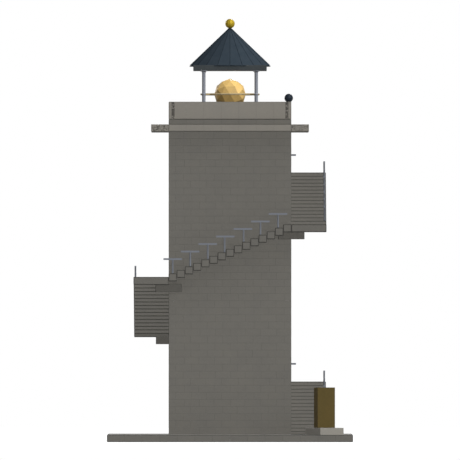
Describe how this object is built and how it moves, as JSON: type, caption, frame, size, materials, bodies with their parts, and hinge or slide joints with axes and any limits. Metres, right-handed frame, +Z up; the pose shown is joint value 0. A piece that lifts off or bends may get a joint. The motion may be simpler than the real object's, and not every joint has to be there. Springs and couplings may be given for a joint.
{
  "type": "lighthouse tower with outside stair",
  "caption": "Square stone lighthouse tower with a block stair winding round the outside to a parapeted deck and a roofed lantern.",
  "frame": {"origin": "middle of the plinth's underside", "axes": "+Z up, +X east, +Y north; the side first seen, with flight four and the stele, faces -Y"},
  "size_m": [14, 14, 24.175],
  "materials": {
    "tower_stone": "rough sawn grey stone",
    "dressed_stone": "dressed lighter grey stone",
    "corbel_stone": "rough dark grey stone",
    "rail_metal": "satin grey paint",
    "post_paint": "satin grey paint",
    "plate_paint": "satin dark grey paint",
    "roof_sheet": "dark blue grey sheet roof, satin",
    "gilding": "gilded, satin",
    "lamp_glass": "cast amber glass, frosted facets",
    "lamp_iron": "black paint",
    "ring_brass": "dull brass",
    "ball_iron": "dark blue grey paint",
    "pedestal_stone": "light stone, honed",
    "stele_stone": "dark brown stone, honed"
  },
  "bodies": {
    "root": {"plinth": "tower_stone", "wall_south": "tower_stone", "wall_north": "tower_stone", "wall_east": "tower_stone", "wall_west": "tower_stone", "roof_deck": "tower_stone", "landing_1_ne": "tower_stone", "landing_2_nw": "tower_stone", "landing_3_sw": "tower_stone", "landing_4_se": "tower_stone", "landing_5_ne": "tower_stone", "flight_1_odd_steps": "tower_stone", "flight_1_even_steps": "tower_stone", "flight_2_odd_steps": "tower_stone", "flight_2_even_steps": "tower_stone", "flight_3_odd_steps": "tower_stone", "flight_3_even_steps": "tower_stone", "flight_4_odd_steps": "tower_stone", "flight_4_even_steps": "tower_stone", "flight_5_odd_steps": "tower_stone", "flight_5_even_steps": "tower_stone", "flight_6_odd_steps": "tower_stone", "flight_6_even_steps": "tower_stone", "gallery_south": "dressed_stone", "gallery_east": "dressed_stone", "gallery_west": "dressed_stone", "parapet_south": "dressed_stone", "parapet_north": "dressed_stone", "parapet_east": "dressed_stone", "parapet_west": "dressed_stone", "landing_corbels": "corbel_stone", "flight_1_rails": "rail_metal", "flight_2_rails": "rail_metal", "flight_3_rails": "rail_metal", "flight_4_rails": "rail_metal", "flight_5_rails": "rail_metal", "flight_6_rails": "rail_metal", "lantern_posts": "post_paint", "roof_plate": "plate_paint", "lantern_roof": "roof_sheet", "roof_finial": "gilding", "lamp_globe": "lamp_glass", "lamp_pedestal": "lamp_iron", "lamp_ring": "ring_brass", "parapet_ball": "ball_iron", "stele_pedestal": "pedestal_stone", "stele": "stele_stone"}
  },
  "joints": []
}
